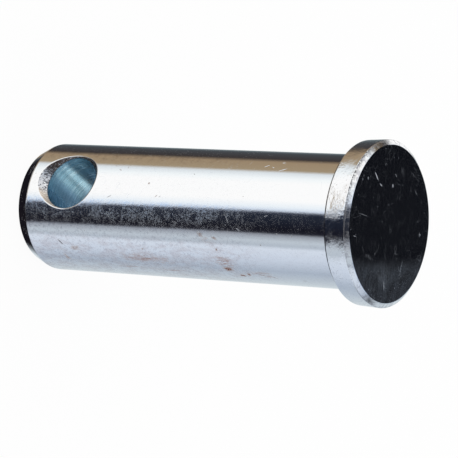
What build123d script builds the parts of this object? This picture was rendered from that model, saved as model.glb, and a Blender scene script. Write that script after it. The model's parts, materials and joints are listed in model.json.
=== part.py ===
from build123d import *
import math
import os

# Clevis pin: a plain round shank with a thin, wide head at one end and a
# chamfered tip at the other, where a countersunk cross hole takes a retaining
# pin. It is turned and drilled from one bar, so it is one solid.
#
# Millimetres. The pin stands on its tip: the origin is the centre of the tip's
# flat, +Z runs along the axis to the head, and the cross hole runs along Y.

# Shank
SHANK_DIAMETER = 16.0
UNDER_HEAD_LENGTH = 46.4        # from the tip's flat to the underside of the head
TIP_FLAT_DIAMETER = 14.4        # what the tip chamfer leaves of the end face
TIP_CHAMFER_LENGTH = 1.7        # along the axis
TIP_EDGE_RADIUS = 0.8           # where the tip chamfer runs into the shank
UNDER_HEAD_FILLET = 0.4

# Head
HEAD_DIAMETER = 19.8            # at the front of the rim
HEAD_THICKNESS = 3.25
HEAD_BACK_DIAMETER = 19.5       # the rim draws in a little towards the shank
HEAD_FACE_DIAMETER = 18.6       # what the front chamfer leaves of the face
HEAD_CHAMFER_LENGTH = 0.46      # along the axis
HEAD_BACK_EDGE_RADIUS = 0.3

# Cross hole
HOLE_DIAMETER = 7.0
HOLE_TO_TIP = 7.4               # from the tip's flat to the hole's axis
COUNTERSINK_DIAMETER = 8.7      # at the crown of the shank
COUNTERSINK_ANGLE = 75.0        # included angle

TOTAL_LENGTH = UNDER_HEAD_LENGTH + HEAD_THICKNESS


def corner_at(sketch, radius, height):
    """The outline's corner at this radius and height."""
    return sketch.vertices().sort_by_distance((radius, 0, height))[0]


def turned_outline():
    """Half of the lengthwise section, on the XZ plane, with its rounded corners."""
    shank = SHANK_DIAMETER / 2
    back = HEAD_BACK_DIAMETER / 2
    rim_front = TOTAL_LENGTH - HEAD_CHAMFER_LENGTH
    with BuildSketch(Plane.XZ) as section:
        with BuildLine():
            Polyline(
                (0, 0),
                (TIP_FLAT_DIAMETER / 2, 0),
                (shank, TIP_CHAMFER_LENGTH),
                (shank, UNDER_HEAD_LENGTH),
                (back, UNDER_HEAD_LENGTH),
                (HEAD_DIAMETER / 2, rim_front),
                (HEAD_FACE_DIAMETER / 2, TOTAL_LENGTH),
                (0, TOTAL_LENGTH),
                close=True,
            )
        make_face()
    outline = section.sketch
    rounded_corners = (
        (shank, TIP_CHAMFER_LENGTH, TIP_EDGE_RADIUS),
        (shank, UNDER_HEAD_LENGTH, UNDER_HEAD_FILLET),
        (back, UNDER_HEAD_LENGTH, HEAD_BACK_EDGE_RADIUS),
    )
    for radius, height, rounding in rounded_corners:
        outline = fillet(corner_at(outline, radius, height), rounding)
    return outline


def drilled_hole():
    """What the drill and the two countersinks take out, along Y through the shank."""
    hole = HOLE_DIAMETER / 2
    mouth = COUNTERSINK_DIAMETER / 2
    crown = SHANK_DIAMETER / 2
    slope = math.tan(math.radians(COUNTERSINK_ANGLE / 2))
    throat = crown - (mouth - hole) / slope
    overrun = 1.0                # how far the cutter stands clear of the shank
    end = crown + overrun
    flare = mouth + overrun * slope
    with BuildSketch(Plane.XY) as section:
        with BuildLine():
            Polyline(
                (0, -end),
                (flare, -end),
                (hole, -throat),
                (hole, throat),
                (flare, end),
                (0, end),
                close=True,
            )
        make_face()
    return Pos(0, 0, HOLE_TO_TIP) * revolve(section.sketch, Axis.Y)


def clevis_pin():
    turned = revolve(turned_outline(), Axis.Z)
    return turned - drilled_hole()


os.makedirs("parts", exist_ok=True)
export_step(clevis_pin(), "parts/clevis_pin.step")
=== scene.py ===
import json
import math

import bpy
from mathutils import Matrix, Vector


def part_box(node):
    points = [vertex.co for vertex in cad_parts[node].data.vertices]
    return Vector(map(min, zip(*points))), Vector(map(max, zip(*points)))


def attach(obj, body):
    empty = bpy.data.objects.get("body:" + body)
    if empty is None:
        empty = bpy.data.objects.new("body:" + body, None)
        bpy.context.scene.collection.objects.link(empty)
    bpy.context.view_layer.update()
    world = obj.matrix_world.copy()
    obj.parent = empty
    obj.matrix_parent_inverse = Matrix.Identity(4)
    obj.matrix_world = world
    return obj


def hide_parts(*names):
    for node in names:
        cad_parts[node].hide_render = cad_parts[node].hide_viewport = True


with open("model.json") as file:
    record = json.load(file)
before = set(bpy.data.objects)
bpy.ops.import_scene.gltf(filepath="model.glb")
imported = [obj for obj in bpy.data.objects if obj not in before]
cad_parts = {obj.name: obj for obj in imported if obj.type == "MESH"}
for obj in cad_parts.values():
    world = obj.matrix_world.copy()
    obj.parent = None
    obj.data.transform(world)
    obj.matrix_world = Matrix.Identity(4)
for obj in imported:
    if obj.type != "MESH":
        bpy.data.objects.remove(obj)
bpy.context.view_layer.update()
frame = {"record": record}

# A zinc plated clevis pin, standing on its tip. Lengths are in metres: the
# sizes that carry a fit come from the record, the length from the CAD node, and
# the finish of the edges is set here.

MM = 0.001
mounts = {mount["name"]: mount for mount in frame["record"]["mounts"]}
low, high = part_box("clevis_pin")

# Sizes
SHANK_RADIUS = mounts["shank"]["dims"]["r_mm"] * MM
HOLE_RADIUS = mounts["cross_hole"]["dims"]["r_mm"] * MM
HOLE_HEIGHT = mounts["cross_hole"]["pos_m"][2]
HOLE_THROAT = mounts["cross_hole"]["dims"]["length_mm"] * MM / 2
UNDER_HEAD = mounts["head_seat"]["pos_m"][2]
TOP = high.z
HEAD_RADIUS = min(high.x, high.y, -low.x, -low.y)
HEAD_BACK_RADIUS = HEAD_RADIUS - 0.15 * MM
FACE_RADIUS = HEAD_RADIUS - 0.6 * MM
HEAD_CHAMFER = 0.46 * MM
TIP_FLAT_RADIUS = SHANK_RADIUS - 0.8 * MM
TIP_CHAMFER = 1.7 * MM
COUNTERSINK_HALF_ANGLE = math.radians(37.5)

# Mesh steps
STEPS_AROUND = 256
STEPS_IN_AN_EDGE = 5
RUN_STEP = 0.6 * MM
BAND_STEPS_UP = 52
# The band round the cross hole reaches this far up and down from its axis, in square steps.
BAND_REACH = BAND_STEPS_UP * math.pi * SHANK_RADIUS / STEPS_AROUND
# Rings of faces from the band's border in: shank, lip, countersink, throat, bore.
HOLE_RINGS = (14, 6, 5, 4, 9)


# --- writing node trees -------------------------------------------------------

class Number:
    """One number in a node tree. Arithmetic on Numbers adds Math nodes to it."""

    def __init__(self, tree, socket):
        self.tree = tree
        self.socket = socket

    def math(self, operation, *others):
        node = self.tree.nodes.new("ShaderNodeMath")
        node.operation = operation
        for value, socket in zip((self, *others), node.inputs):
            feed(self.tree, value, socket)
        return Number(self.tree, node.outputs[0])

    def __add__(self, other):
        return self.math("ADD", other)

    def __radd__(self, other):
        return self.math("ADD", other)

    def __sub__(self, other):
        return self.math("SUBTRACT", other)

    def __rsub__(self, other):
        return (self * -1.0) + other

    def __mul__(self, other):
        return self.math("MULTIPLY", other)

    def __rmul__(self, other):
        return self.math("MULTIPLY", other)

    def __truediv__(self, other):
        return self.math("DIVIDE", other)

    def square(self):
        return self.math("MULTIPLY", self)

    def root(self):
        return self.math("SQRT")

    def sine(self):
        return self.math("SINE")

    def cosine(self):
        return self.math("COSINE")

    def floor(self):
        return self.math("FLOOR")

    def modulo(self, other):
        return self.math("MODULO", other)

    def over(self, other):
        """1 where this is greater than the other, else 0."""
        return self.math("GREATER_THAN", other)

    def under(self, other):
        """1 where this is less than the other, else 0."""
        return self.math("LESS_THAN", other)

    def size(self):
        return self.math("ABSOLUTE")

    def larger(self, other):
        return self.math("MAXIMUM", other)

    def smaller(self, other):
        return self.math("MINIMUM", other)

    def smooth(self, start, end, low=0.0, high=1.0):
        """Runs smoothly from low to high as this goes from start to end."""
        node = self.tree.nodes.new("ShaderNodeMapRange")
        node.interpolation_type = "SMOOTHSTEP"
        for value, socket in zip((self, start, end, low, high), node.inputs):
            feed(self.tree, value, socket)
        return Number(self.tree, node.outputs[0])


def feed(tree, value, socket):
    """Links a Number or a socket to a socket, or sets a plain value on it."""
    if isinstance(value, Number):
        tree.links.new(value.socket, socket)
    elif isinstance(value, bpy.types.NodeSocket):
        tree.links.new(value, socket)
    else:
        socket.default_value = value


def add_node(tree, kind, *inputs, **settings):
    """Adds a node, applies its settings and feeds its inputs in order."""
    node = tree.nodes.new(kind)
    for name, value in settings.items():
        setattr(node, name, value)
    for value, socket in zip(inputs, node.inputs):
        if value is not None:
            feed(tree, value, socket)
    return node


def between(start, end, share):
    """The Number that is share of the way from start to end."""
    return start + (end - start) * share


def vector(tree, x, y, z):
    return add_node(tree, "ShaderNodeCombineXYZ", x, y, z).outputs[0]


def parts_of(tree, socket):
    """The three Numbers of a vector."""
    split = add_node(tree, "ShaderNodeSeparateXYZ", socket)
    return [Number(tree, output) for output in split.outputs]


def new_geometry_tree(name, sizes):
    """A Geometry Nodes tree with a geometry going in and out, and its named sizes."""
    tree = bpy.data.node_groups.new(name, "GeometryNodeTree")
    face = tree.interface
    face.new_socket("Geometry", in_out="OUTPUT", socket_type="NodeSocketGeometry")
    face.new_socket("Geometry", in_out="INPUT", socket_type="NodeSocketGeometry")
    for size_name, value in sizes.items():
        kind = "NodeSocketInt" if isinstance(value, int) else "NodeSocketFloat"
        socket = face.new_socket(size_name, in_out="INPUT", socket_type=kind)
        socket.default_value = value
    group_input = tree.nodes.new("NodeGroupInput")
    tree.nodes.new("NodeGroupOutput")
    inputs = {}
    for socket in group_input.outputs:
        if socket.name == "Geometry":
            inputs[socket.name] = socket
        elif socket.name:
            inputs[socket.name] = Number(tree, socket)
    return tree, inputs


def finish_tree(tree, geometry):
    tree.links.new(geometry, tree.nodes["Group Output"].inputs[0])


# --- the turned outline -------------------------------------------------------

def pin_outline():
    """Half of the lengthwise section as (radius, height, edge rounding), tip to face."""
    return [
        (0.0, 0.0, 0.0),
        (TIP_FLAT_RADIUS, 0.0, 0.10 * MM),
        (SHANK_RADIUS, TIP_CHAMFER, 0.8 * MM),
        (SHANK_RADIUS, HOLE_HEIGHT - BAND_REACH, 0.0),
        (SHANK_RADIUS, HOLE_HEIGHT + BAND_REACH, 0.0),
        (SHANK_RADIUS, UNDER_HEAD, 0.4 * MM),
        (HEAD_BACK_RADIUS, UNDER_HEAD, 0.3 * MM),
        (HEAD_RADIUS, TOP - HEAD_CHAMFER, 0.12 * MM),
        (FACE_RADIUS, TOP, 0.07 * MM),
        (0.0, TOP, 0.0),
    ]


def rounding_reach(before, corner, after, radius):
    """How far a corner's rounding reaches along the runs beside it, with a little room."""
    if radius == 0.0:
        return 0.0
    turn = (corner - before).angle(after - corner)
    return radius * math.tan(turn / 2) * 1.05 + 0.01 * MM


def outline_mesh(corners, run_step):
    """The outline as a chain of edges, with its long runs divided into steps.

    The steps keep clear of the corners, so each corner has room for its rounding.
    """
    places = [Vector(corner[:2]) for corner in corners]
    reaches = [0.0] * len(corners)
    for index in range(1, len(corners) - 1):
        before, place, after = places[index - 1:index + 2]
        reaches[index] = rounding_reach(before, place, after, corners[index][2])

    points = []
    rounding = []
    for index, (start, end) in enumerate(zip(places, places[1:])):
        points.append(start)
        rounding.append(corners[index][2])
        along = (end - start).normalized()
        first = start + along * reaches[index]
        last = end - along * reaches[index + 1]
        steps = max(1, round((last - first).length / run_step))
        inner = [first.lerp(last, step / steps) for step in range(steps + 1)]
        if reaches[index] == 0.0:
            inner = inner[1:]
        if reaches[index + 1] == 0.0:
            inner = inner[:-1]
        points += inner
        rounding += [0.0] * len(inner)
    points.append(places[-1])
    rounding.append(0.0)

    mesh = bpy.data.meshes.new("outline")
    mesh.from_pydata(
        [(point.x, 0.0, point.y) for point in points],
        [(index, index + 1) for index in range(len(points) - 1)],
        [],
    )
    layer = mesh.attributes.new("rounding", "FLOAT", "POINT")
    layer.data.foreach_set("value", rounding)
    return mesh


# --- geometry trees -----------------------------------------------------------

def turning_tree():
    """Rounds an outline's corners and turns it about Z."""
    tree, given = new_geometry_tree("turning", {
        "Steps Around": STEPS_AROUND,
        "Steps in an Edge": STEPS_IN_AN_EDGE,
    })
    curve = add_node(tree, "GeometryNodeMeshToCurve", given["Geometry"]).outputs[0]
    rounding = add_node(tree, "GeometryNodeInputNamedAttribute", "rounding", data_type="FLOAT")
    rounded = add_node(tree, "GeometryNodeFilletCurve", curve, mode="POLY")
    feed(tree, given["Steps in an Edge"], rounded.inputs["Count"])
    feed(tree, rounding.outputs["Attribute"], rounded.inputs["Radius"])
    outline = rounded.outputs[0]
    size = add_node(tree, "GeometryNodeAttributeDomainSize", outline, component="CURVE")
    along = Number(tree, size.outputs["Point Count"])
    around = given["Steps Around"] + 1.0
    grid = add_node(tree, "GeometryNodeMeshGrid", 1.0, 1.0, along, around)
    index = Number(tree, add_node(tree, "GeometryNodeInputIndex").outputs[0])
    place = (index / around).floor()
    turn = index.modulo(around) * (2 * math.pi) / given["Steps Around"]
    position = add_node(tree, "GeometryNodeInputPosition").outputs[0]
    sample = add_node(tree, "GeometryNodeSampleIndex", outline, data_type="FLOAT_VECTOR")
    feed(tree, position, sample.inputs["Value"])
    feed(tree, place, sample.inputs["Index"])
    radius, _, height = parts_of(tree, sample.outputs[0])
    turned = vector(tree, radius * turn.cosine(), radius * turn.sine(), height)
    moved = add_node(tree, "GeometryNodeSetPosition", grid.outputs[0])
    feed(tree, turned, moved.inputs["Position"])
    finish_tree(tree, moved.outputs[0])
    return tree


def hole_band_tree(materials):
    """Half of the shank's band with half of the cross hole through it, on the +Y side.

    One grid runs from the band's border in to the countersink's lip, down the
    countersink and along the bore to the pin's middle. Its first direction goes
    round the hole, and its second goes in.
    """
    tree, given = new_geometry_tree("hole band", {
        "Shank Radius": SHANK_RADIUS,
        "Hole Radius": HOLE_RADIUS,
        "Throat": HOLE_THROAT,
        "Countersink Half Angle": COUNTERSINK_HALF_ANGLE,
        "Hole Height": HOLE_HEIGHT,
        "Lip Rounding": 0.14 * MM,
        "Throat Rounding": 0.10 * MM,
        "Steps Across": STEPS_AROUND // 2,
        "Steps Up": BAND_STEPS_UP,
    })
    shank = given["Shank Radius"]
    hole = given["Hole Radius"]
    throat = given["Throat"]
    across = given["Steps Across"]
    up = given["Steps Up"]
    slope = given["Countersink Half Angle"].math("TANGENT")

    ends = [sum(HOLE_RINGS[:count + 1]) for count in range(len(HOLE_RINGS))]
    rings = ends[-1]
    around = (across + up) * 2.0
    grid = add_node(tree, "GeometryNodeMeshGrid", 1.0, 1.0, around + 1.0, rings + 1)
    index = Number(tree, add_node(tree, "GeometryNodeInputIndex").outputs[0])
    place = (index / (rings + 1.0)).floor()
    ring = index.modulo(rings + 1.0)

    # The border is a rectangle on the unrolled shank.
    width = shank * math.pi
    border = add_node(tree, "GeometryNodeCurvePrimitiveQuadrilateral", width, width / across * up)
    sampled = add_node(tree, "GeometryNodeSampleCurve", data_type="FLOAT_VECTOR", mode="FACTOR")
    feed(tree, border.outputs[0], sampled.inputs["Curves"])
    feed(tree, add_node(tree, "GeometryNodeInputPosition").outputs[0], sampled.inputs["Value"])
    feed(tree, place / around, sampled.inputs["Factor"])
    border_across, border_up, _ = parts_of(tree, sampled.outputs[0])

    # The lip is where the countersink's cone leaves the shank.
    turn = border_up.math("ARCTAN2", border_across)
    side, rise = turn.cosine(), turn.sine()
    steepness = slope.math("POWER", -1.0)
    start = throat - hole * steepness
    spread = steepness.square() + side.square()
    under_root = (start * steepness).square() - spread * (start.square() - shank.square())
    lip = (under_root.root() - start * steepness) / spread

    def on_shank(arc, height):
        """A point of the unrolled shank, rolled up."""
        angle = arc / shank
        return [shank * angle.sine(), shank * angle.cosine(), height]

    def in_hole(radius, depth):
        """A point at this distance from the hole's axis and this height above the pin's."""
        return [radius * side, depth, radius * rise]

    def mix_points(start, end, share):
        return [between(first, last, share) for first, last in zip(start, end)]

    def bend(start, corner, end, share):
        """A rounded corner from start to end."""
        return mix_points(mix_points(start, corner, share), mix_points(corner, end, share), share)

    lip_side = lip * side
    lip_across = (lip_side / shank).math("ARCSINE") * shank
    lip_up = lip * rise
    lip_depth = (shank.square() - lip_side.square()).root()
    lip_point = in_hole(lip, lip_depth)

    gap_across, gap_up = border_across - lip_across, border_up - lip_up
    gap = (gap_across.square() + gap_up.square()).root()
    keep = given["Lip Rounding"] / gap
    outer_across = between(lip_across, border_across, keep)
    outer_up = between(lip_up, border_up, keep)
    lip_outer = on_shank(outer_across, outer_up)
    cone = ((lip - hole).square() + (lip_depth - throat).square()).root()

    def on_cone(share):
        """A point this share of the way down the countersink."""
        return in_hole(between(lip, hole, share), between(lip_depth, throat, share))

    lip_inner = on_cone(given["Lip Rounding"] / cone)
    throat_outer = on_cone(1.0 - given["Throat Rounding"] / cone)
    throat_point = in_hole(hole, throat)
    bore_start = throat - given["Throat Rounding"]
    throat_inner = in_hole(hole, bore_start)

    def share_of(section):
        first = ends[section - 1] if section else 0
        return (ring - float(first)) / float(HOLE_RINGS[section])

    ease = share_of(0).math("POWER", 0.8)
    outside = on_shank(
        between(border_across, outer_across, ease),
        between(border_up, outer_up, ease),
    )
    choices = (
        outside,
        bend(lip_outer, lip_point, lip_inner, share_of(1)),
        mix_points(lip_inner, throat_outer, share_of(2)),
        bend(throat_outer, throat_point, throat_inner, share_of(3)),
        in_hole(hole, bore_start * (1.0 - share_of(4))),
    )
    chosen = ring.over(float(ends[0]))
    for end in ends[1:-1]:
        chosen = chosen + ring.over(float(end))
    switch = add_node(tree, "GeometryNodeIndexSwitch", data_type="VECTOR")
    while len(switch.index_switch_items) < len(choices):
        switch.index_switch_items.new()
    feed(tree, chosen, switch.inputs["Index"])
    for slot_index, (x, y, z) in enumerate(choices):
        point = vector(tree, x, y, z + given["Hole Height"])
        feed(tree, point, switch.inputs[slot_index + 1])
    moved = add_node(tree, "GeometryNodeSetPosition", grid.outputs[0])
    feed(tree, switch.outputs[0], moved.inputs["Position"])

    # Each ring of faces gets the finish of what it is part of.
    face_ring = index.modulo(float(rings))
    lip_middle = float(ends[0] + HOLE_RINGS[1] // 2)
    throat_middle = float(ends[2] + HOLE_RINGS[3] // 2)
    dressed = set_material(tree, moved.outputs[0], materials["shank"])
    for name, middle in (("countersink", lip_middle), ("bore", throat_middle)):
        dressed = set_material(tree, dressed, materials[name], face_ring.over(middle - 0.5))
    finish_tree(tree, dressed)
    return tree


def set_material(tree, geometry, material, selection=None):
    """Gives the selected faces a finish."""
    node = add_node(tree, "GeometryNodeSetMaterial", geometry)
    node.inputs["Material"].default_value = material
    if selection is not None:
        feed(tree, selection, node.inputs["Selection"])
    return node.outputs[0]


def use_tree(tree, group, **inputs):
    """Puts one tree into another as a group."""
    node = tree.nodes.new("GeometryNodeGroup")
    node.node_tree = group
    for name, value in inputs.items():
        feed(tree, value, node.inputs[name])
    return node.outputs[0]


def pin_tree(turning, hole_band, materials):
    """The whole pin: the turned body, its hole band cut in, welded and dressed."""
    tree, given = new_geometry_tree("clevis pin", {
        "Band Bottom": HOLE_HEIGHT - BAND_REACH,
        "Band Top": HOLE_HEIGHT + BAND_REACH,
        "Tip Chamfer Top": TIP_CHAMFER,
        "Head Bottom": UNDER_HEAD,
        "Head Chamfer Bottom": TOP - HEAD_CHAMFER,
        "Face Height": TOP,
        "Hair": 0.02 * MM,
        "Weld": 0.002 * MM,
    })
    turned = use_tree(tree, turning, Geometry=given["Geometry"])
    _, _, height = parts_of(tree, add_node(tree, "GeometryNodeInputPosition").outputs[0])
    in_band = height.over(given["Band Bottom"]) * height.under(given["Band Top"])
    opened = add_node(tree, "GeometryNodeDeleteGeometry", turned, domain="FACE")
    feed(tree, in_band, opened.inputs["Selection"])
    dressed = set_material(tree, opened.outputs[0], materials["shank"])
    hair = given["Hair"]
    for name, selection in (
        ("tip", height.under(given["Tip Chamfer Top"])),
        ("head rim", height.over(given["Head Bottom"] - hair)),
        ("head chamfer", height.over(given["Head Chamfer Bottom"])),
        ("head face", height.over(given["Face Height"] - hair)),
    ):
        dressed = set_material(tree, dressed, materials[name], selection)
    body = add_node(tree, "GeometryNodeFlipFaces", dressed).outputs[0]
    half_band = use_tree(tree, hole_band)
    first_half = add_node(tree, "GeometryNodeFlipFaces", half_band).outputs[0]
    other_half = add_node(tree, "GeometryNodeTransform", half_band)
    other_half.inputs["Scale"].default_value = (1.0, -1.0, 1.0)
    joined = tree.nodes.new("GeometryNodeJoinGeometry")
    for part in (body, first_half, other_half.outputs[0]):
        tree.links.new(part, joined.inputs[0])
    welded = add_node(tree, "GeometryNodeMergeByDistance", joined.outputs[0])
    feed(tree, given["Weld"], welded.inputs["Distance"])
    smooth = add_node(tree, "GeometryNodeSetShadeSmooth", welded.outputs[0])
    real = add_node(tree, "GeometryNodeRealizeInstances", smooth.outputs[0])
    underside = height.over(given["Head Bottom"] - hair) * height.under(given["Head Bottom"] + hair)
    finish_tree(tree, set_material(tree, real.outputs[0], materials["underside"], underside))
    return tree


def make_pin(materials):
    """The finished pin: the outline goes through the trees and comes out as a plain mesh."""
    outline = outline_mesh(pin_outline(), RUN_STEP)
    maker = bpy.data.objects.new("outline", outline)
    bpy.context.scene.collection.objects.link(maker)
    modifier = maker.modifiers.new("pin", "NODES")
    group = pin_tree(turning_tree(), hole_band_tree(materials), materials)
    modifier.node_group = group
    for socket in group.interface.items_tree:
        if socket.in_out == "INPUT" and socket.socket_type != "NodeSocketGeometry":
            modifier[socket.identifier] = socket.default_value
    evaluated = maker.evaluated_get(bpy.context.evaluated_depsgraph_get())
    mesh = bpy.data.meshes.new_from_object(evaluated)
    mesh.name = "finished_pin"
    piece = bpy.data.objects.new("finished_pin", mesh)
    bpy.context.scene.collection.objects.link(piece)
    bpy.data.objects.remove(maker)
    return piece


# --- patterns -----------------------------------------------------------------

def cloud(place, size, detail=2.0, crispness=0.5):
    """Soft noise about 0.5, whose blots are about this long in mm along x, y and z."""
    tree = place[0].tree
    sizes = size if isinstance(size, tuple) else (size, size, size)
    where = vector(tree, *[part / length for part, length in zip(place, sizes)])
    noise = add_node(tree, "ShaderNodeTexNoise", where)
    noise.inputs["Scale"].default_value = 1.0
    noise.inputs["Detail"].default_value = detail
    noise.inputs["Roughness"].default_value = crispness
    return Number(tree, noise.outputs[0])


def specks(place, spacing, widest, share):
    """Separate round specks: cells this far apart, of which this share holds a speck."""
    tree = place[0].tree
    where = vector(tree, *[part / spacing for part in place])
    cells = add_node(tree, "ShaderNodeTexVoronoi", where)
    cells.inputs["Scale"].default_value = 1.0
    distance = Number(tree, cells.outputs["Distance"]) * spacing
    chance, size, _ = parts_of(tree, cells.outputs["Color"])
    reach = size * widest
    return distance.smooth(reach, reach * 0.5) * chance.under(share)


def hairlines(place, size, width, share):
    """Fine wandering lines, this wide in mm, broken so that this share is left."""
    field = cloud(place, size, 1.0)
    line = (field - 0.5).size().smooth(width / 2 / size, 0.0)
    broken = cloud([part + 7.0 for part in place], size * 0.8, 0.0)
    return line * broken.smooth(0.5 + 0.2 - share * 0.4, 0.75 - share * 0.4)


def mark(tree, flat, across, along, length, width, degrees, edge=0.5):
    """An oval mark on a flat vector: its middle, its size and its turn from across."""
    placed = add_node(tree, "ShaderNodeMapping", flat, vector_type="TEXTURE")
    placed.inputs["Location"].default_value = (across, along, 0.0)
    placed.inputs["Rotation"].default_value = (0.0, 0.0, math.radians(degrees))
    placed.inputs["Scale"].default_value = (length / 2, width / 2, 1.0)
    distance = add_node(tree, "ShaderNodeVectorMath", placed.outputs[0], operation="LENGTH")
    return Number(tree, distance.outputs["Value"]).smooth(1.0, edge)


def marks(tree, flat, table, edge=0.5):
    """The union of a table of oval marks, each with its strength last."""
    total = None
    for across, along, length, width, degrees, strength in table:
        one = mark(tree, flat, across, along, length, width, degrees, edge) * strength
        total = one if total is None else total.larger(one)
    return total


# --- finishes -----------------------------------------------------------------

class Finish:
    """A metal surface, built up in layers from the bare plating."""

    def __init__(self, name, colour, roughness):
        self.material = bpy.data.materials.new(name)
        self.material.use_nodes = True
        self.tree = self.material.node_tree
        self.colour = colour + (1.0,)
        self.roughness = roughness
        self.metallic = 1.0
        self.height = 0.0
        where = add_node(self.tree, "ShaderNodeTexCoord").outputs["Object"]
        self.place = [part / MM for part in parts_of(self.tree, where)]
        x, y, _ = self.place
        self.turn = x.math("ARCTAN2", y * -1.0)
        self.radius = (x.square() + y.square()).root()

    def raise_by(self, height):
        """Adds to the relief, in mm."""
        self.height = height + self.height

    def lay(self, mask, colour=None, metallic=None, roughness=None):
        """Turns the masked share of the surface to another colour and sheen."""
        if colour is not None:
            mixed = add_node(self.tree, "ShaderNodeMix", data_type="RGBA")
            feed(self.tree, mask, mixed.inputs["Factor"])
            feed(self.tree, self.colour, mixed.inputs["A"])
            feed(self.tree, colour + (1.0,), mixed.inputs["B"])
            self.colour = mixed.outputs["Result"]
        if metallic is not None:
            self.metallic = between(self.metallic, metallic, mask)
        if roughness is not None:
            self.roughness = between(self.roughness, roughness, mask)

    def done(self):
        shader = self.tree.nodes["Principled BSDF"]
        feed(self.tree, self.colour, shader.inputs["Base Color"])
        feed(self.tree, self.roughness, shader.inputs["Roughness"])
        feed(self.tree, self.metallic, shader.inputs["Metallic"])
        bump = add_node(self.tree, "ShaderNodeBump")
        bump.inputs["Distance"].default_value = MM
        feed(self.tree, self.height, bump.inputs["Height"])
        feed(self.tree, bump.outputs[0], shader.inputs["Normal"])
        return self.material


# Plating, with painted shade for the bore's far and low sides and painted highlight and painted shade
# for its rings
ZINC = (0.965, 0.968, 0.972)
FACE_ZINC = (0.82, 0.88, 0.98)
BORE_ZINC = (0.74, 0.93, 0.99)
BORE_FAR_SIDE_PAINTED_SHADE = (0.34, 0.50, 0.62)
BORE_LOW_SIDE_PAINTED_SHADE = (0.40, 0.60, 0.74)
RING_HOLLOW_PAINTED_SHADE = (0.34, 0.54, 0.66)
RING_CREST_PAINTED_HIGHLIGHT = (0.86, 0.95, 0.98)
# Dirt and wear, and for the countersink a painted shade and a painted reflection
VEIL = (0.22, 0.33, 0.60)
FILM = (0.66, 0.80, 1.0)
HAZE = (0.70, 0.82, 1.0)
TORN_DARK = (0.10, 0.10, 0.12)
BROWN_PAINTED_SHADE = (0.12, 0.09, 0.08)
TAN_PAINTED_REFLECTION = (0.92, 0.80, 0.68)
GREY = (0.45, 0.45, 0.50)
BROWN = (0.16, 0.11, 0.09)
DUST = (0.62, 0.68, 0.78)
SCRATCH = (0.78, 0.83, 0.92)
SOOT = (0.035, 0.03, 0.035)
RUST = (0.20, 0.075, 0.045)
RED_RUST = (0.44, 0.29, 0.26)
PINK_RUST = (0.46, 0.30, 0.28)

# Marks on the shank: degrees round from the front, height in mm, length, width,
# turn from the round direction in degrees, strength.
PALE_SCRATCHES = [
    (29, 32, 1.6, 0.07, 24, 0.55),
    (40, 32, 1.5, 0.05, -10, 0.3),
    (37, 33.5, 0.80, 0.07, 56, 0.6),
    (24.5, 37.5, 0.75, 0.06, 110, 0.45),
    (28, 21, 1.3, 0.07, 60, 0.4),
    (34, 24.5, 1.1, 0.06, 75, 0.4),
    (31, 14.5, 1.2, 0.06, 40, 0.4),
    (26, 27, 0.9, 0.06, 100, 0.4),
    (-23.5, 35.5, 0.9, 0.13, 125, 1.0),
    (-19.5, 38, 1.3, 0.13, 116, 1.0),
    (-22, 36.5, 0.6, 0.10, 60, 0.8),
    (-27, 33, 0.7, 0.06, 160, 0.4),
    (-29, 37.5, 0.8, 0.5, 60, 0.3),
    (150, 20, 2.6, 0.08, 70, 0.5),
    (-140, 33, 1.9, 0.07, 20, 0.5),
    (-95, 24, 1.4, 0.08, 115, 0.5),
    (175, 38, 1.2, 0.09, 50, 0.5),
]
DARK_NICKS = [
    (59, 6.5, 1.2, 0.19, 38, 1.0),
    (14.5, 14.5, 0.9, 0.11, 117, 0.6),
    (39.5, 39, 0.35, 0.12, 30, 0.7),
    (40.5, 41, 0.35, 0.12, 10, 0.6),
    (50, 36.5, 0.30, 0.22, 0, 0.7),
    (90.5, 40.5, 0.9, 0.14, 90, 0.8),
    (-10.5, 26, 0.30, 0.14, 60, 0.6),
    (12.5, 22, 0.45, 0.12, 120, 0.45),
    (62, 33, 0.30, 0.18, 60, 0.5),
    (-120, 14, 0.8, 0.12, 140, 0.6),
    (160, 30, 0.5, 0.2, 30, 0.6),
]
RUST_SPOTS = [
    (64.5, 8.5, 2.0, 1.1, 100, 0.55),
    (76.5, 6.5, 1.5, 0.9, 30, 0.55),
    (43.5, 28, 1.3, 0.6, 60, 0.7),
    (46, 30, 1.1, 0.5, 80, 0.7),
    (57, 30, 0.5, 0.35, 20, 0.8),
    (61, 19, 0.5, 0.3, 60, 0.6),
    (79, 30.5, 1.9, 1.0, 70, 1.0),
    (88, 32, 1.2, 0.7, 80, 1.0),
    (85.5, 33, 0.9, 0.6, 30, 1.0),
    (88, 36.5, 1.2, 0.3, 85, 0.6),
    (0.5, 20, 0.45, 0.2, 60, 0.7),
    (12, 21.5, 0.6, 0.16, 120, 0.6),
    (-12, 15, 0.6, 0.25, 60, 0.7),
    (-15, 16, 0.4, 0.18, 30, 0.7),
    (-16, 14, 0.5, 0.2, 80, 0.6),
    (-150, 8, 1.0, 0.6, 30, 0.6),
    (130, 42, 1.3, 0.5, 70, 0.6),
]
PINK_SMEARS = [
    (85.5, 15.5, 7.0, 0.5, 92, 0.9),
    (87.5, 22, 6.0, 0.4, 93, 0.9),
    (72, 19, 12.0, 2.6, 88, 0.75),
    (70, 30.5, 4.8, 3.2, 60, 0.8),
    (84, 35, 5.0, 1.8, 80, 0.7),
    (50, 29, 2.8, 1.4, 60, 0.5),
    (-160, 26, 4.0, 1.5, 80, 0.5),
]


def rolled(table, radius):
    """A table of marks with its degrees made into mm round a cylinder."""
    return [(math.radians(row[0]) * radius, *row[1:]) for row in table]


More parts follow.
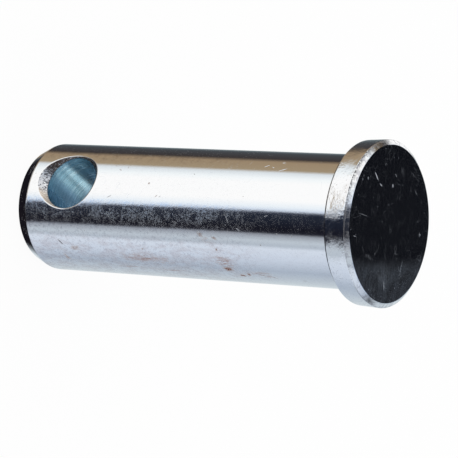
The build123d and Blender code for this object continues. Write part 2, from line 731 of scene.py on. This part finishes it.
def shank_finish():
    """Bright zinc over ground steel: fine grain, dull clouds, nicks and rust smears."""
    finish = Finish("plated_shank", ZINC, 0.07)
    place = finish.place
    height = place[2]
    tree = finish.tree
    around = finish.turn * (SHANK_RADIUS / MM)
    ragged = (cloud(place, 0.5, 2.0) - 0.5) * 0.5
    flat = vector(tree, around, height, 0.0)
    ragged_flat = vector(tree, around + ragged, height - ragged, 0.0)

    # Zones round the shank and up it.
    degrees = finish.turn * (180 / math.pi)
    upper = degrees.smooth(-17.0, -30.0)
    lower = degrees.smooth(12.0, 34.0)
    handled = height.smooth(38.0, 30.0) * 0.85 + 0.15
    strip = degrees.smooth(16.0, 20.0) * (degrees.smooth(44.0, 24.0) * 0.8 + 0.2)
    thumbed = strip * degrees.smooth(46.0, 40.0) * handled
    fringe = degrees.smooth(12.0, 17.0) * degrees.smooth(25.0, 20.0) * handled

    fine = cloud(place, 0.17, 2.0)
    middling = cloud(place, 0.7, 4.0, 0.65)
    finish.raise_by(fine * (fringe * 0.003 + 0.0014))
    finish.raise_by(cloud(place, 0.26, 3.0) * (upper * 0.0022 + 0.0012))
    finish.raise_by(cloud(place, (0.35, 0.35, 4.0), 2.0) * 0.0010)
    finish.raise_by(cloud(place, 1.6, 1.0) * 0.003)

    # The plating is dull where the pin was handled, and cleaner next to the head.
    finish.lay(middling.smooth(0.40, 0.62) * handled, roughness=0.10)
    frost = cloud(place, 1.3, 8.0, 0.82).smooth(0.46, 0.54)
    sparkle = cloud(place, 0.24, 4.0, 0.75).smooth(0.46, 0.54)
    finish.lay((frost * 0.85 + 0.1) * (sparkle * 0.8 + 0.2) * thumbed, FILM, 0.74, 0.12)

    # Grey grain, brown stains, a pink tinge low down, then dust and hairlines.
    speckled = cloud(place, 0.34, 4.0, 0.7)
    finish.lay(speckled.smooth(0.50, 0.36) * (handled * 0.34 + 0.05) * (lower * 0.85 + 0.15), GREY, 0.95)
    brown = cloud(place, 0.9, 6.0, 0.75).smooth(0.42, 0.68) * upper * height.smooth(36.0, 24.0)
    finish.lay(brown * degrees.smooth(-75.0, -45.0) * 0.3, BROWN, 0.95, 0.15)
    soiled = cloud(place, (0.7, 0.7, 1.6), 6.0, 0.72).smooth(0.42, 0.60) * degrees.smooth(40.0, 60.0)
    finish.lay(soiled * handled * 0.24, PINK_RUST, 0.9, 0.2)
    finish.lay(specks(place, 0.42, 0.11, 0.35) * thumbed * 0.35, DUST, 0.4, 0.4)
    finish.lay(specks([part + 3.0 for part in place], 0.8, 0.10, 0.3) * 0.45, BROWN, 0.6, 0.4)
    finish.lay(hairlines(place, 2.4, 0.03, 0.4) * 0.25, SCRATCH, 0.6, 0.3)

    # Single marks.
    smears = marks(tree, ragged_flat, rolled(PINK_SMEARS, SHANK_RADIUS / MM), 0.0)
    worn = cloud(place, (0.25, 0.25, 1.1), 4.0, 0.7)
    finish.lay(smears * worn.smooth(0.42, 0.62) * 1.2, RED_RUST, 0.7, 0.3)
    spots = marks(tree, ragged_flat, rolled(RUST_SPOTS, SHANK_RADIUS / MM), 0.2)
    finish.lay(spots * fine.smooth(0.28, 0.5), RUST, 0.3, 0.45)
    pale = marks(tree, flat, rolled(PALE_SCRATCHES, SHANK_RADIUS / MM), 0.4)
    finish.lay(pale, SCRATCH, 0.1, 0.4)
    dark = marks(tree, flat, rolled(DARK_NICKS, SHANK_RADIUS / MM), 0.4)
    finish.lay(dark, SOOT, 0.0, 0.5)
    finish.raise_by((pale + dark) * -0.004)
    return finish.done()


def tip_finish():
    """The tip's flat and chamfer: as turned, with fine rings and a little dust."""
    finish = Finish("turned_tip", ZINC, 0.12)
    place = finish.place
    finish.raise_by(cloud(place, 0.3, 3.0) * 0.003)
    rings = ((finish.radius * 42.0) + place[2] * 20.0).sine()
    finish.raise_by(rings * 0.0005)
    dust = cloud(place, 0.9, 4.0).smooth(0.5, 0.75)
    finish.lay(dust, metallic=0.95, roughness=0.25)
    finish.lay(specks(place, 0.7, 0.10, 0.2) * 0.3, VEIL, 0.3, 0.5)
    return finish.done()


def countersink_finish():
    """The countersink: torn, speckled chatter under the plating, with painted shade in dark brown on one
    side and a painted tan reflection low on the other.
    """
    finish = Finish("chattered_countersink", ZINC, 0.14)
    place = finish.place
    x, _, z = place
    torn = cloud(place, 0.26, 3.0, 0.6)
    finish.raise_by(torn * 0.05)
    finish.lay(cloud(place, 0.5, 3.0).smooth(0.30, 0.55) * 0.5, GREY, 0.95, 0.25)
    finish.lay(torn.smooth(0.51, 0.44) * 0.85, TORN_DARK, 0.7, 0.4)
    # Painted shade: the countersink's -x side is painted dark brown where the chatter is low.
    finish.lay(x.smooth(-0.8, -2.3) * torn.smooth(0.68, 0.50), BROWN_PAINTED_SHADE, 0.8, 0.25)
    # Painted reflection: a tan patch low on the countersink's +x side.
    tan = x.smooth(1.0, 2.0) * (z - HOLE_HEIGHT / MM).smooth(0.5, -1.5)
    finish.lay(tan * 0.8, TAN_PAINTED_REFLECTION, 0.45, 0.3)
    return finish.done()


def bore_finish():
    """The reamed bore: blue-green plating with fine marks round it, painted darker on its far and low
    sides as painted shade, with painted highlight on the rings' crests and painted shade in their
    hollows.
    """
    finish = Finish("reamed_bore", BORE_ZINC, 0.22)
    place = finish.place
    x, _, z = place
    rings = cloud(place, (4.0, 0.16, 4.0), 1.0)
    finish.raise_by(rings * 0.006)
    finish.raise_by(cloud(place, 0.25, 2.0) * 0.003)
    above_axis = z - HOLE_HEIGHT / MM
    # Painted shade: the bore wall is painted darker on its far side and on its low side.
    painted_shade_far_side = above_axis.smooth(-2.35, -1.5) * x.smooth(0.5, -1.0)
    painted_shade_low_side = x.smooth(-0.8, 1.6) * above_axis.smooth(0.0, -1.0)
    finish.lay(painted_shade_far_side, BORE_FAR_SIDE_PAINTED_SHADE, roughness=0.34)
    finish.lay(painted_shade_low_side * 0.6, BORE_LOW_SIDE_PAINTED_SHADE, roughness=0.34)
    # Painted shade in the hollows of the rings and painted highlight on their crests.
    finish.lay(rings.smooth(0.48, 0.42) * 0.5, RING_HOLLOW_PAINTED_SHADE, 0.97, 0.28)
    finish.lay(rings.smooth(0.53, 0.60) * 0.6, RING_CREST_PAINTED_HIGHLIGHT, 0.97, 0.2)
    return finish.done()


def rim_finish():
    """The head's rim: coarser, grainier zinc than the shank's, with tumbling marks."""
    finish = Finish("grainy_rim", ZINC, 0.09)
    place = finish.place
    grain = cloud(place, 0.24, 3.0, 0.55)
    coarse = cloud(place, 1.8, 2.0).smooth(0.35, 0.6).larger(finish.turn.smooth(-0.5, -0.9) * 1.6)
    finish.raise_by(grain * (coarse * 0.020 + 0.008))
    finish.raise_by(cloud(place, 0.16, 2.0) * coarse * 0.010)
    finish.raise_by(cloud(place, 1.1, 1.0) * 0.004)
    finish.lay(grain.smooth(0.44, 0.30) * (coarse * 0.35 + 0.15), GREY, 0.9)
    finish.lay(specks(place, 0.6, 0.12, 0.25) * 0.5, SOOT, 0.4, 0.5)
    finish.lay(cloud(place, 1.2, 4.0).smooth(0.5, 0.7) * 0.8, metallic=0.95, roughness=0.22)
    return finish.done()


def chamfer_finish():
    """The head's chamfer: knocked and streaked, dark along its outer edge."""
    finish = Finish("knocked_chamfer", ZINC, 0.12)
    place = finish.place
    finish.raise_by(cloud(place, (1.2, 1.2, 0.2), 3.0) * 0.012)
    finish.raise_by(cloud(place, 0.25, 2.0) * 0.006)
    chamfer_bottom = (TOP - HEAD_CHAMFER) / MM
    worn = finish.turn.smooth(-1.0, -0.5) * finish.turn.smooth(0.6, 0.1)
    edge = place[2].smooth(worn * 0.18 + chamfer_bottom + 0.14, chamfer_bottom + 0.02)
    speckle = cloud(place, 0.28, 3.0).smooth(0.34, 0.56) * (worn * 0.6 + 0.4)
    finish.lay(edge * speckle * (worn * 0.3 + 0.6), SOOT, 0.6, 0.35)
    finish.lay(cloud(place, 0.5, 4.0).smooth(0.54, 0.38) * 0.6, GREY, 0.85, 0.25)
    finish.lay(cloud(place, 0.8, 3.0).smooth(0.5, 0.7) * 0.8, metallic=0.95, roughness=0.3)
    return finish.done()


# The face was polished along this direction (x and y).
POLISHED_ALONG = (0.889, 0.456)
# Marks on the face: x and y in mm, length, width, turn from x in degrees, strength.
FACE_SCRATCHES = [
    (-3.3, -5.7, 1.75, 0.13, 68, 1.0),
    (-2.9, -4.3, 0.9, 0.12, 86, 0.8),
    (-5.5, -1.8, 0.6, 0.10, 60, 0.6),
    (-4.1, -1.8, 0.6, 0.25, 33, 0.7),
    (-2.2, -7.3, 0.5, 0.14, 30, 0.6),
    (-1.5, -8.3, 0.4, 0.12, 20, 0.5),
    (6.8, 2.5, 1.7, 0.09, 32, 0.7),
    (-2.1, 6.9, 0.8, 0.06, 120, 0.5),
    (-2.1, 6.9, 0.9, 0.06, 27, 0.5),
    (4.9, -6.5, 0.9, 0.10, 108, 0.5),
    (-2.8, 9.0, 0.5, 0.18, 27, 0.9),
    (1.9, -6.0, 3.2, 0.06, 107, 0.35),
    (-7.9, -4.9, 2.3, 0.14, 117, 0.4),
    (3.2, 5.0, 2.4, 0.05, 10, 0.35),
    (-6.0, 3.5, 1.6, 0.06, 75, 0.35),
]
FACE_SMUDGES = [
    (5.5, -2.3, 3.0, 0.7, 102, 0.7),
    (5.9, 1.8, 5.5, 3.6, 110, 0.45),
    (-6.6, -0.6, 1.8, 0.9, 60, 0.4),
]


def face_finish():
    """The head's face: near mirror, with hairlines, a few bright scratches and haze."""
    finish = Finish("polished_face", FACE_ZINC, 0.08)
    place = finish.place
    x, y, z = place
    tree = finish.tree
    down = x * POLISHED_ALONG[0] + y * POLISHED_ALONG[1]
    level = x * -POLISHED_ALONG[1] + y * POLISHED_ALONG[0]
    lined = [level, down, z]
    finish.raise_by(cloud(lined, (0.14, 3.0, 1.0), 2.0) * 0.0006)
    finish.raise_by(cloud(place, 2.5, 1.0) * 0.003)
    ragged = (cloud(place, 0.6, 3.0) - 0.5) * 0.9
    flat = vector(tree, x, y, 0.0)
    ragged_flat = vector(tree, x + ragged, y - ragged, 0.0)
    streaks = cloud(lined, (0.16, 1.5, 1.0), 3.0, 0.6)
    patches = cloud(place, 1.6, 4.0, 0.6)
    dulled = patches.smooth(0.52, 0.72) * streaks.smooth(0.46, 0.66)
    finish.lay(dulled * 0.3, metallic=0.93, roughness=0.2)
    haze = down.smooth(3.6, 5.6) * (patches.smooth(0.25, 0.6) * 0.6 + 0.4)
    finish.lay(haze * (streaks.smooth(0.3, 0.7) * 0.5 + 0.5), HAZE, 0.96, 0.12)
    smudges = marks(tree, ragged_flat, FACE_SMUDGES, 0.0)
    finish.lay(smudges * streaks.smooth(0.35, 0.6) * 0.5, DUST, 0.8, 0.3)
    finish.lay(specks(place, 0.45, 0.08, 0.45) * patches.smooth(0.35, 0.6) * 0.5, DUST, 0.4, 0.5)
    finish.lay(hairlines(place, 1.8, 0.022, 0.5) * 0.25, SCRATCH, 0.6, 0.3)
    scratches = marks(tree, flat, FACE_SCRATCHES, 0.3)
    finish.lay(scratches, SCRATCH, 0.2, 0.4)
    finish.raise_by(scratches * -0.004)
    return finish.done()


def underside_finish():
    """The seat under the head: turned rings, dulled by the plating."""
    finish = Finish("turned_seat", ZINC, 0.2)
    place = finish.place
    finish.raise_by((finish.radius * 36.0).sine() * 0.0016)
    finish.raise_by(cloud(place, 0.3, 3.0) * 0.004)
    finish.lay(cloud(place, 1.2, 4.0).smooth(0.45, 0.7), metallic=0.88, roughness=0.35)
    return finish.done()


# --- studio -------------------------------------------------------------------

CAMERA_AZIMUTH = math.radians(25.74)
CAMERA_PLACE = (0.10705, -0.2221, 0.1908)
CAMERA_RIGHT = (-0.2879, 0.4746, 0.8317)
CAMERA_UP = (-0.8888, -0.4560, -0.0475)
CAMERA_BACK = (0.3567, -0.7529, 0.5531)
CAMERA_LENS = 190.7
SENSOR_WIDTH = 36.0

# Where two screens stand (x and y), and how the dark strip changes with height.
WINDOW_AT = (-0.704, 0.710)
GREY_SCREEN_AT = (0.698, 0.716)
LEAN = 53 / 360
NARROWING = 15 / 360

FLOOR_REACH = 1.5
FLOOR_COLOUR = (0.9, 0.9, 0.9, 1.0)
# How much of the floor that the camera sees is plain white; the rest keeps the shadow.
FLOOR_GLOW = 0.93


def srgb(red, green, blue):
    """A display colour, 0 to 255, as linear light."""
    def linear(level):
        share = level / 255
        return share / 12.92 if share <= 0.04045 else ((share + 0.055) / 1.055) ** 2.4
    return tuple(linear(level) for level in (red, green, blue)) + (1.0,)


# What stands round the pin, seen in the metal only: walls, a tan screen, a white box,
# a dark strip and pale walls again. Each row is degrees round from the camera and a colour.
STUDIO_SCREENS = [
    (-180, (155, 170, 175)),
    (-152, (70, 75, 80)),
    (-122, (60, 55, 55)),
    (-112, (155, 135, 110)),
    (-90, (160, 143, 118)),
    (-84, (218, 225, 230)),
    (-72, (245, 250, 252)),
    (-62, (255, 255, 255)),
    (-30, (255, 255, 255)),
    (-18, (235, 243, 250)),
    (-13, (210, 220, 235)),
    (-9, (60, 65, 80)),
    (-5, (32, 38, 52)),
    (20, (20, 20, 30)),
    (26, (33, 33, 43)),
    (30, (150, 155, 165)),
    (41, (190, 200, 210)),
    (49, (178, 188, 200)),
    (55, (212, 221, 234)),
    (75, (202, 212, 227)),
    (105, (169, 181, 197)),
    (150, (199, 209, 216)),
    (180, (220, 228, 232)),
]
LOW_SCREEN = (22, 20, 26)
BACK_SCREEN = (10, 11, 16)
TAN_SCREEN = (150, 134, 114)
GREY_SCREEN = (124, 133, 145)
WHITE = (255, 255, 255)


def make_world():
    """A round white room with dark and tan screens, seen only in the metal."""
    world = bpy.data.worlds.new("studio")
    bpy.context.scene.world = world
    world.use_nodes = True
    tree = world.node_tree
    shader = tree.nodes["Background"]
    where = add_node(tree, "ShaderNodeTexCoord").outputs["Generated"]
    x, y, z = parts_of(tree, where)
    toward = x * math.sin(CAMERA_AZIMUTH) + y * -math.cos(CAMERA_AZIMUTH)
    aside = x * math.cos(CAMERA_AZIMUTH) + y * math.sin(CAMERA_AZIMUTH)
    turn = aside.math("ARCTAN2", toward + z.larger(0.0)) / (2 * math.pi) + 0.5
    # Low down the dark screen leans to one side, and high up it is narrower.
    lean = (z + 0.56).smaller(0.0) * toward.smooth(0.2, 0.7) * LEAN
    narrowing = turn.smooth(0.5 + 2 / 360, 0.5 + 12 / 360) * z.smooth(0.1, 0.5) * NARROWING
    turn = turn + lean + narrowing
    ramp = tree.nodes.new("ShaderNodeValToRGB")
    elements = ramp.color_ramp.elements
    while len(elements) < len(STUDIO_SCREENS):
        elements.new(0.5)
    for element, (degrees, colour) in zip(elements, STUDIO_SCREENS):
        element.position = degrees / 360 + 0.5
        element.color = srgb(*colour)
    feed(tree, turn, ramp.inputs[0])

    def screen(share, behind, front):
        """Puts a screen in front of what is behind it."""
        mixed = add_node(tree, "ShaderNodeMix", data_type="RGBA")
        feed(tree, share, mixed.inputs["Factor"])
        feed(tree, behind, mixed.inputs["A"])
        feed(tree, front, mixed.inputs["B"])
        return mixed.outputs["Result"]

    depth = z * -1.0
    low_left = depth.smooth(0.650, 0.672) * depth.smooth(0.76, 0.73) * aside.smooth(-0.05, -0.15)
    seen = ramp.outputs[0]
    for share, colour in (
        (depth.smooth(0.72, 0.86), LOW_SCREEN),
        (toward.smooth(-0.45, -0.65) * z.smooth(0.25, 0.45), BACK_SCREEN),
        (low_left, TAN_SCREEN),
        ((x * GREY_SCREEN_AT[0] + y * GREY_SCREEN_AT[1]).smooth(0.90, 0.97), GREY_SCREEN),
        ((x * WINDOW_AT[0] + y * WINDOW_AT[1]).smooth(0.915, 0.97), WHITE),
    ):
        seen = screen(share, seen, srgb(*colour))
    glossy = add_node(tree, "ShaderNodeLightPath").outputs["Is Glossy Ray"]
    seen = screen(Number(tree, glossy), srgb(*WHITE), seen)
    feed(tree, seen, shader.inputs["Color"])


def make_floor():
    """A pale floor, nearly white to the camera, that keeps the pin's shadow."""
    corners = ((-1, -1), (1, -1), (1, 1), (-1, 1))
    mesh = bpy.data.meshes.new("floor")
    mesh.from_pydata([(x * FLOOR_REACH, y * FLOOR_REACH, 0) for x, y in corners], [], [(0, 1, 2, 3)])
    floor = bpy.data.objects.new("floor", mesh)
    bpy.context.scene.collection.objects.link(floor)
    material = bpy.data.materials.new("floor")
    material.use_nodes = True
    tree = material.node_tree
    shader = tree.nodes["Principled BSDF"]
    shader.inputs["Base Color"].default_value = FLOOR_COLOUR
    shader.inputs["Roughness"].default_value = 1.0
    shader.inputs["Specular IOR Level"].default_value = 0.0
    glow = add_node(tree, "ShaderNodeEmission")
    seen = add_node(tree, "ShaderNodeLightPath").outputs["Is Camera Ray"]
    mixed = add_node(tree, "ShaderNodeMixShader")
    feed(tree, Number(tree, seen) * FLOOR_GLOW, mixed.inputs[0])
    tree.links.new(shader.outputs[0], mixed.inputs[1])
    tree.links.new(glow.outputs[0], mixed.inputs[2])
    tree.links.new(mixed.outputs[0], tree.nodes["Material Output"].inputs["Surface"])
    mesh.materials.append(material)
    floor.visible_glossy = False


def make_camera():
    """A long lens above the pin, turned on its side so that the pin lies across the frame."""
    camera = bpy.data.objects.new("camera", bpy.data.cameras.new("camera"))
    bpy.context.scene.collection.objects.link(camera)
    camera.data.sensor_width = SENSOR_WIDTH
    camera.data.lens = CAMERA_LENS
    axes = Matrix((CAMERA_RIGHT, CAMERA_UP, CAMERA_BACK)).transposed()
    camera.matrix_world = Matrix.Translation(CAMERA_PLACE) @ axes.to_4x4()
    bpy.context.scene.camera = camera


materials = {
    "shank": shank_finish(),
    "tip": tip_finish(),
    "countersink": countersink_finish(),
    "bore": bore_finish(),
    "underside": underside_finish(),
    "head rim": rim_finish(),
    "head chamfer": chamfer_finish(),
    "head face": face_finish(),
}
pin = make_pin(materials)
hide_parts("clevis_pin")
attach(pin, "root")
make_world()
make_floor()
make_camera()
bpy.context.scene.view_settings.view_transform = "Standard"
